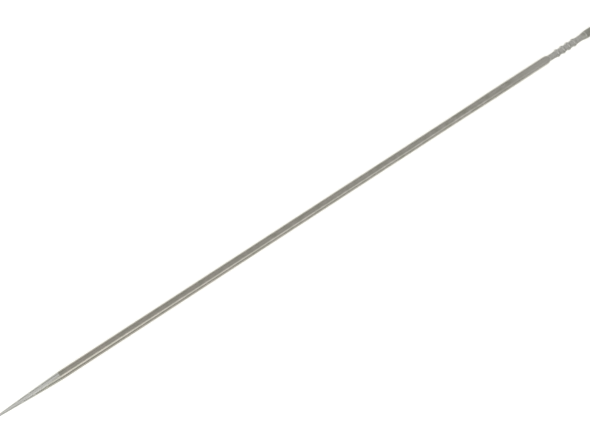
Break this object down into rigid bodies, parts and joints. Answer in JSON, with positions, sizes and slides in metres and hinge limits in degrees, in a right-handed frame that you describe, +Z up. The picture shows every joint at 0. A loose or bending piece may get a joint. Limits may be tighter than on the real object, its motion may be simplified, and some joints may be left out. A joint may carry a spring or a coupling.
{
  "type": "straight felting needle",
  "caption": "Slim straight steel needle with a ground, barbed point, a plated shaft, a ribbed tang and a plain butt for a holder.",
  "frame": {"origin": "on the surface that the needle lies on, under the middle of its length", "axes": "+X along the needle from the point to the butt, +Z up"},
  "size_m": [0.1016, 0.0012, 0.0012],
  "materials": {
    "ground_steel": "satin, ground along the needle",
    "nickel_plated_steel": "polished, warm nickel plate",
    "turned_steel": "turned, semi-bright",
    "darkened_steel": "darkened, satin"
  },
  "bodies": {
    "root": {"ground_point": "ground_steel", "shaft": "nickel_plated_steel", "ribbed_tang": "turned_steel", "butt_collar": "darkened_steel", "butt": "darkened_steel"}
  },
  "joints": []
}
